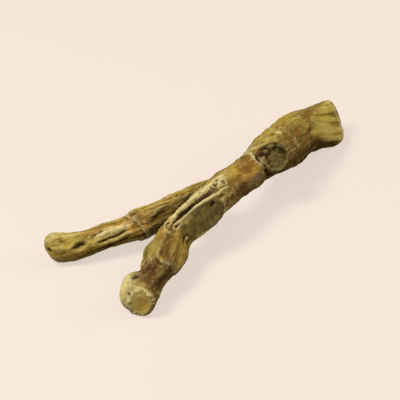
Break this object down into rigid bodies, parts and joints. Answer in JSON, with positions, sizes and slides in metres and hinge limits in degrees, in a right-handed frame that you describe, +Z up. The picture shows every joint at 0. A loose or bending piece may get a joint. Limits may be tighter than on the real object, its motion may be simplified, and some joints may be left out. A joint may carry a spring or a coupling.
{
  "type": "dried sweet flag rhizome",
  "caption": "Forked piece of dried aromatic rhizome: thick arched stem with a shaved butt, old shoot and root scars, a cut knob and a thinner branch.",
  "frame": {"origin": "on the table under the middle of the piece's bounding box", "axes": "+Z up, +Y from the cut knob towards the shaved butt, the thin branch out to -X"},
  "size_m": [0.0996, 0.107, 0.0233],
  "materials": {
    "dried_rhizome": "matte, wrinkled dry skin with ringed leaf and root scars"
  },
  "bodies": {
    "root": {"rhizome": "dried_rhizome"}
  },
  "joints": []
}
